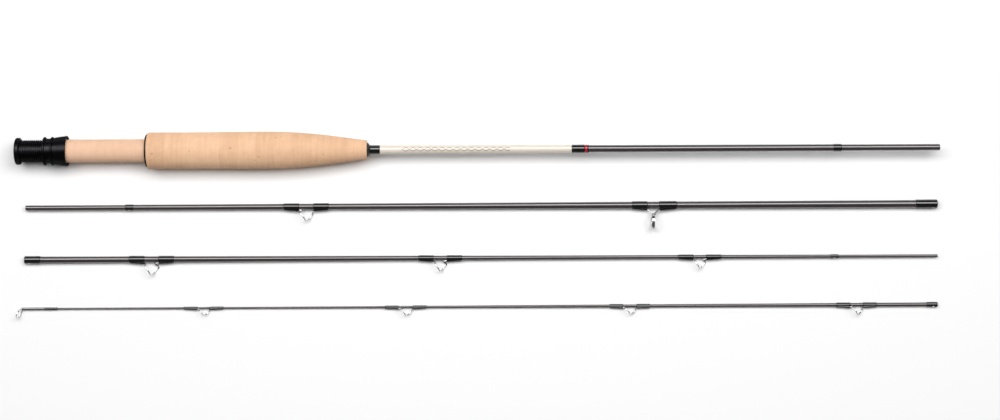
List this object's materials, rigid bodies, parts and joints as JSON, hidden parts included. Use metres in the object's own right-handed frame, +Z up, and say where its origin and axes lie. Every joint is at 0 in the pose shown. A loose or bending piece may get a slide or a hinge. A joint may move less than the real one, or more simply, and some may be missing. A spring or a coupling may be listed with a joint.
{
  "type": "fly rod",
  "caption": "Take-down fly rod laid out in sections: cork grip and screw-locking reel seat, hollow tapered blanks that slip over one another, wire line guides and a loop tip-top.",
  "frame": {"origin": "under the middle of the laid-out sections, on the surface they lie on", "axes": "+X along the sections, from the reel seat's end towards the butt section's spigot; +Y across them, from the tip section towards the butt section; +Z up"},
  "size_m": [0.6244, 0.126, 0.0251],
  "materials": {
    "grip_cork": "sanded cork rings, unsealed",
    "insert_cork": "finer sealed cork",
    "black_anodised": "gloss black anodised, turned",
    "core_tube": "wound graphite tube",
    "arbor_tape": "wound masking-tape arbors",
    "check_rubber": "moulded black rubber",
    "ivory_enamel": "ivory enamel under clear epoxy",
    "red_thread": "red thread under clear epoxy",
    "black_thread": "black thread under clear epoxy",
    "graphite": "clear-coated graphite, dark brown-grey",
    "white_enamel": "white enamel dots",
    "guide_wire": "hard-chromed steel wire",
    "polished_ring": "polished steel line ring"
  },
  "bodies": {
    "butt_section": {"butt_cap": "black_anodised", "seat_threaded_tube": "black_anodised", "seat_core_tube": "core_tube", "seat_arbors": "arbor_tape", "seat_cork_insert": "insert_cork", "fixed_hood": "black_anodised", "grip_ring_01": "grip_cork", "grip_ring_02": "grip_cork", "grip_ring_03": "grip_cork", "grip_ring_04": "grip_cork", "grip_ring_05": "grip_cork", "grip_ring_06": "grip_cork", "grip_ring_07": "grip_cork", "grip_ring_08": "grip_cork", "grip_ring_09": "grip_cork", "grip_ring_10": "grip_cork", "grip_ring_11": "grip_cork", "grip_ring_12": "grip_cork", "winding_check": "check_rubber", "grip_front_wrap": "black_thread", "label_band": "ivory_enamel", "label_end_wrap": "black_thread", "red_trim_band": "red_thread", "butt_blank": "graphite", "butt_insertion_ring": "black_thread", "butt_dot": "white_enamel"},
    "sliding_hood": {"sliding_hood": "black_anodised"},
    "lock_nut": {"lock_nut": "black_anodised"},
    "second_section": {"second_blank": "graphite", "second_ferrule_wrap": "black_thread", "second_insertion_ring": "black_thread", "second_dots": "white_enamel", "stripping_guide_frame": "guide_wire", "stripping_guide_ring": "polished_ring", "stripping_guide_wraps": "black_thread", "second_snake_guide_1": "guide_wire", "second_snake_wraps_1": "black_thread"},
    "third_section": {"third_blank": "graphite", "third_ferrule_wrap": "black_thread", "third_insertion_ring": "black_thread", "third_dots": "white_enamel", "third_snake_guide_1": "guide_wire", "third_snake_wraps_1": "black_thread", "third_snake_guide_2": "guide_wire", "third_snake_wraps_2": "black_thread", "third_snake_guide_3": "guide_wire", "third_snake_wraps_3": "black_thread"},
    "tip_section": {"tip_blank": "graphite", "tip_ferrule_wrap": "black_thread", "tip_dots": "white_enamel", "tip_snake_guide_1": "guide_wire", "tip_snake_wraps_1": "black_thread", "tip_snake_guide_2": "guide_wire", "tip_snake_wraps_2": "black_thread", "tip_snake_guide_3": "guide_wire", "tip_snake_wraps_3": "black_thread", "tip_snake_guide_4": "guide_wire", "tip_snake_wraps_4": "black_thread", "tip_top": "guide_wire", "tip_top_wrap": "black_thread"}
  },
  "joints": [
    {"name": "nut_turn", "type": "hinge", "parent": "sliding_hood", "child": "lock_nut", "pos_m": [-0.28825, 0.05049, 0.01255], "axis": [1, 0, 0], "range_deg": [-3980, 1410]},
    {"name": "hood_slide", "type": "slide", "parent": "butt_section", "child": "sliding_hood", "axis": [1, 0, 0], "range_m": [-0.0155, 0.0055]},
    {"name": "second_lift", "type": "slide", "parent": "butt_section", "child": "second_section", "axis": [0, 0, 1], "range_m": [0, 0.1]},
    {"name": "third_lift", "type": "slide", "parent": "butt_section", "child": "third_section", "axis": [0, 0, 1], "range_m": [0, 0.1]},
    {"name": "tip_lift", "type": "slide", "parent": "butt_section", "child": "tip_section", "axis": [0, 0, 1], "range_m": [0, 0.1]}
  ],
  "couplings": [
    {"joint": "hood_slide", "follows": "nut_turn", "m_per_rad": 0.00022282}
  ]
}
